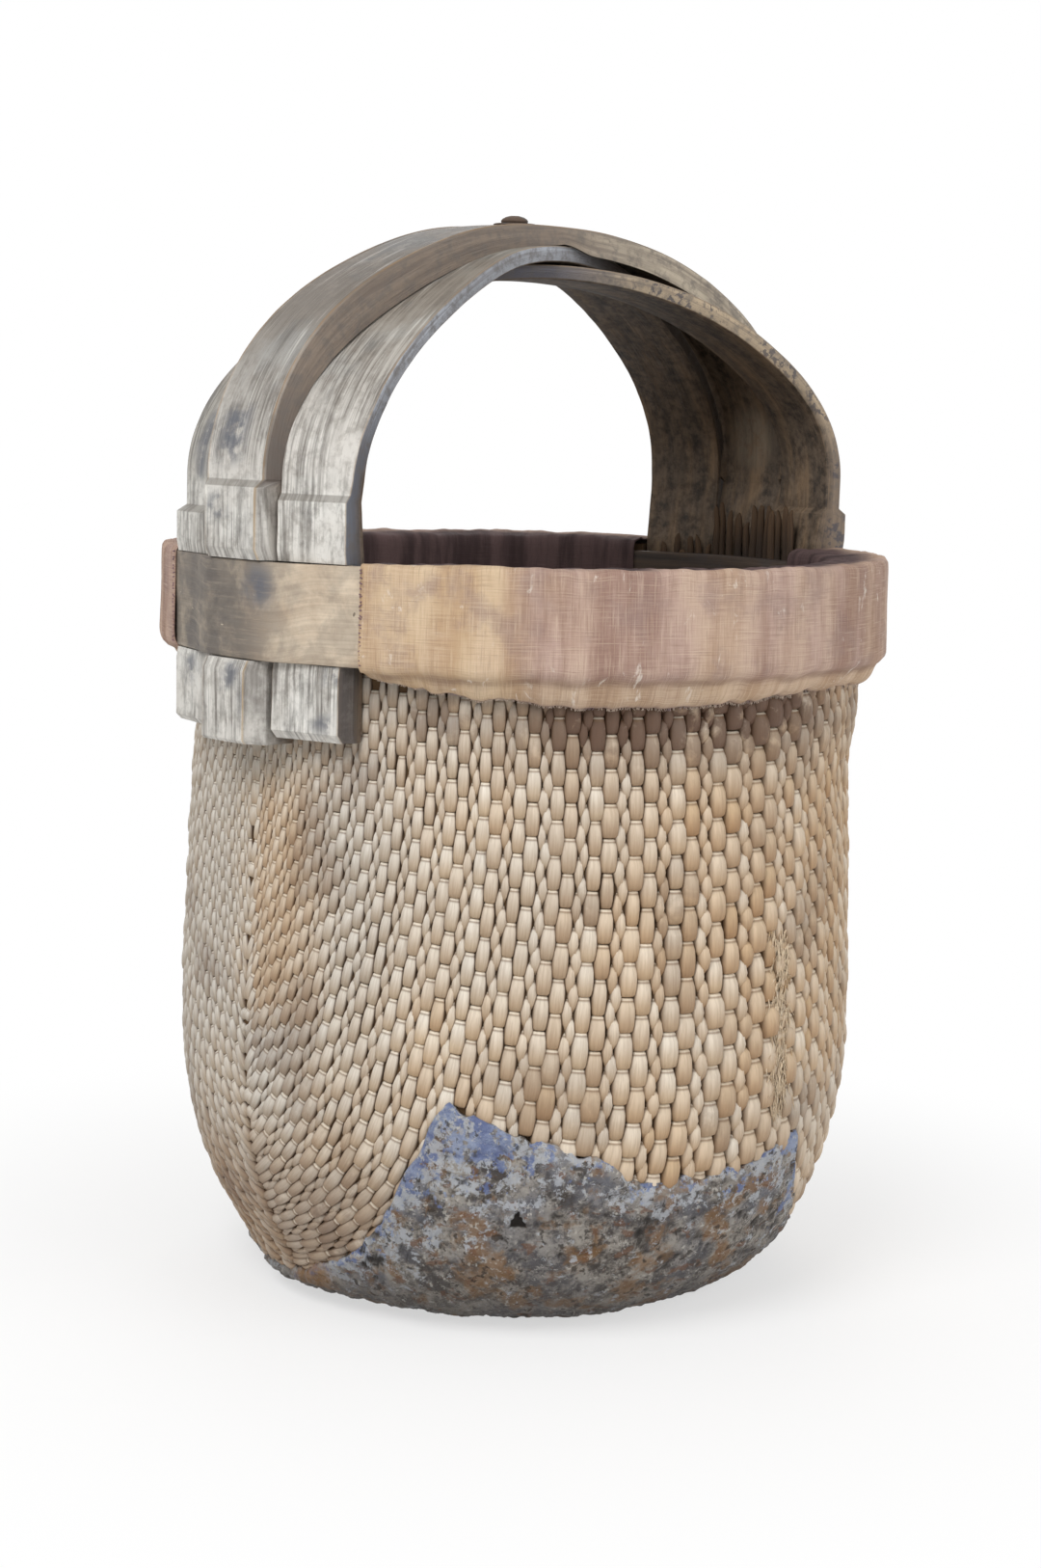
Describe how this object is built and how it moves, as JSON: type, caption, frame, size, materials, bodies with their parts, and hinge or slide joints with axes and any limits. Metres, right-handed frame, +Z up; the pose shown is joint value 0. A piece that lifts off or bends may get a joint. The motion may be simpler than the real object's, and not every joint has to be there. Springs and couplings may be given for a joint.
{
  "type": "gathering basket",
  "caption": "Round woven willow gathering basket with a rounded patched bottom, a bent-wood rim dressed in cloth, and a fixed arched handle of bent slats that cross and are pinned at the crown.",
  "frame": {"origin": "on the ground below the middle of the rim", "axes": "+Z up, X along the handle from foot to foot, Y across the handle"},
  "size_m": [0.4158, 0.4016, 0.5863],
  "materials": {
    "willow": "peeled willow, dry and weathered",
    "patch": "stiff crusted rag with old paint",
    "hoop_wood": "bare bent strip, stained",
    "dark_wood": "dark with age",
    "handle_wood": "weathered grey, worn edges",
    "peg_iron": "dark, worn",
    "rim_cloth": "stained canvas"
  },
  "bodies": {
    "root": {"woven_body": "willow", "bottom_patch": "patch", "outer_hoop": "hoop_wood", "outer_hoop_pin_1": "dark_wood", "outer_hoop_pin_2": "dark_wood", "inner_hoop": "dark_wood", "inner_hoop_pin_1": "dark_wood", "inner_hoop_pin_2": "dark_wood", "handle_centre_slat": "handle_wood", "handle_upper_cross_slat": "handle_wood", "handle_lower_cross_slat": "handle_wood", "crown_peg": "peg_iron", "crown_washer": "peg_iron", "crown_rove": "peg_iron", "rim_packing_front": "willow", "rim_packing_back": "willow", "rim_cloth_front": "rim_cloth", "rim_cloth_back": "rim_cloth"}
  },
  "joints": []
}
